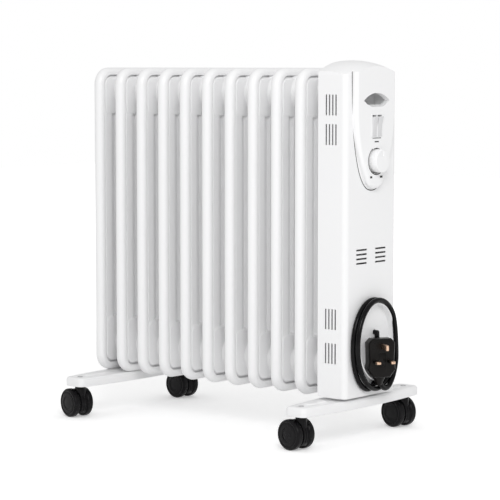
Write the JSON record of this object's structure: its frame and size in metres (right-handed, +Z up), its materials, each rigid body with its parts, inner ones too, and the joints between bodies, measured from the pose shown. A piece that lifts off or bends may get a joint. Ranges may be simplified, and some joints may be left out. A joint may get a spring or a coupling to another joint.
{
  "type": "oil filled radiator heater",
  "caption": "Free-standing oil filled radiator heater with upright steel fins, a control box with thermostat knob and rocker switches, swivel casters, and a coiled mains cord.",
  "frame": {"origin": "floor level, at the centre of the footprint of the heater without its cord and plug", "axes": "+Z up, +X towards the control box, -Y is the front long side"},
  "size_m": [0.5578, 0.2939, 0.557],
  "materials": {
    "white_enamel": "satin enamel",
    "white_plastic": "satin",
    "rocker_plastic": "satin",
    "caster_plastic": "satin",
    "cord_rubber": "satin",
    "plug_plastic": "satin",
    "brass": "polished",
    "black_plastic": "matte",
    "steel": "zinc plated"
  },
  "bodies": {
    "heater": {"box_back_plate": "white_enamel", "box_base": "white_enamel", "box_cover": "white_enamel", "box_screws": "steel", "caster_sockets": "steel", "control_panel": "white_plastic", "cord_coil": "cord_rubber", "cord_gland": "cord_rubber", "cord_lead": "cord_rubber", "cord_tail": "cord_rubber", "cord_tray": "white_plastic", "element_flange": "steel", "element_port": "steel", "fin_01": "white_enamel", "fin_02": "white_enamel", "fin_03": "white_enamel", "fin_04": "white_enamel", "fin_05": "white_enamel", "fin_06": "white_enamel", "fin_07": "white_enamel", "fin_08": "white_enamel", "fin_09": "white_enamel", "fin_10": "white_enamel", "foot_left": "white_enamel", "foot_right": "white_enamel", "hanger_studs": "steel", "heating_element": "steel", "oil_filler_plug": "steel", "plug_body": "plug_plastic", "plug_fuse_cover": "plug_plastic", "plug_pins": "brass", "switch_body_left": "black_plastic", "switch_body_right": "black_plastic", "terminal_block": "black_plastic", "thermal_cutout": "black_plastic", "thermostat_body": "black_plastic", "u_bolts": "steel", "wing_nuts": "steel"},
    "thermostat_dial": {"thermostat_knob": "white_plastic", "thermostat_spindle": "steel"},
    "rocker_left": {"rocker_left": "rocker_plastic"},
    "rocker_right": {"rocker_right": "rocker_plastic"},
    "caster_front_left": {"caster_front_left_hood": "caster_plastic", "caster_front_left_stem": "steel"},
    "wheels_front_left": {"caster_front_left_wheels": "caster_plastic", "caster_front_left_axle": "steel"},
    "caster_rear_left": {"caster_rear_left_hood": "caster_plastic", "caster_rear_left_stem": "steel"},
    "wheels_rear_left": {"caster_rear_left_wheels": "caster_plastic", "caster_rear_left_axle": "steel"},
    "caster_front_right": {"caster_front_right_hood": "caster_plastic", "caster_front_right_stem": "steel"},
    "wheels_front_right": {"caster_front_right_wheels": "caster_plastic", "caster_front_right_axle": "steel"},
    "caster_rear_right": {"caster_rear_right_hood": "caster_plastic", "caster_rear_right_stem": "steel"},
    "wheels_rear_right": {"caster_rear_right_wheels": "caster_plastic", "caster_rear_right_axle": "steel"}
  },
  "joints": [
    {"name": "thermostat_turn", "type": "hinge", "parent": "heater", "child": "thermostat_dial", "pos_m": [0.25075, 0, 0.4118], "axis": [1, 0, 0], "range_deg": [-140, 140]},
    {"name": "rocker_left_tilt", "type": "hinge", "parent": "heater", "child": "rocker_left", "pos_m": [0.24675, -0.0063, 0.4626], "axis": [0, 1, 0], "range_deg": [-16, 0]},
    {"name": "rocker_right_tilt", "type": "hinge", "parent": "heater", "child": "rocker_right", "pos_m": [0.24675, 0.0063, 0.4626], "axis": [0, 1, 0], "range_deg": [-16, 0]},
    {"name": "caster_front_left_swivel", "type": "hinge", "parent": "heater", "child": "caster_front_left", "pos_m": [-0.23025, -0.1253, 0.05], "axis": [0, 0, 1], "continuous": true},
    {"name": "wheels_front_left_spin", "type": "hinge", "parent": "caster_front_left", "child": "wheels_front_left", "pos_m": [-0.24003, -0.12322, 0.0225], "axis": [0.2079, 0.9781, 0], "continuous": true},
    {"name": "caster_rear_left_swivel", "type": "hinge", "parent": "heater", "child": "caster_rear_left", "pos_m": [-0.23025, 0.1253, 0.05], "axis": [0, 0, 1], "continuous": true},
    {"name": "wheels_rear_left_spin", "type": "hinge", "parent": "caster_rear_left", "child": "wheels_rear_left", "pos_m": [-0.24023, 0.126, 0.0225], "axis": [0.0698, 0.9976, 0], "continuous": true},
    {"name": "caster_front_right_swivel", "type": "hinge", "parent": "heater", "child": "caster_front_right", "pos_m": [0.21125, -0.1253, 0.05], "axis": [0, 0, 1], "continuous": true},
    {"name": "wheels_front_right_spin", "type": "hinge", "parent": "caster_front_right", "child": "wheels_front_right", "pos_m": [0.20134, -0.12399, 0.0225], "axis": [0.1305, 0.9914, 0], "continuous": true},
    {"name": "caster_rear_right_swivel", "type": "hinge", "parent": "heater", "child": "caster_rear_right", "pos_m": [0.21125, 0.1253, 0.05], "axis": [0, 0, 1], "continuous": true},
    {"name": "wheels_rear_right_spin", "type": "hinge", "parent": "caster_rear_right", "child": "wheels_rear_right", "pos_m": [0.20143, 0.12721, 0.0225], "axis": [0.1908, 0.9816, 0], "continuous": true}
  ]
}
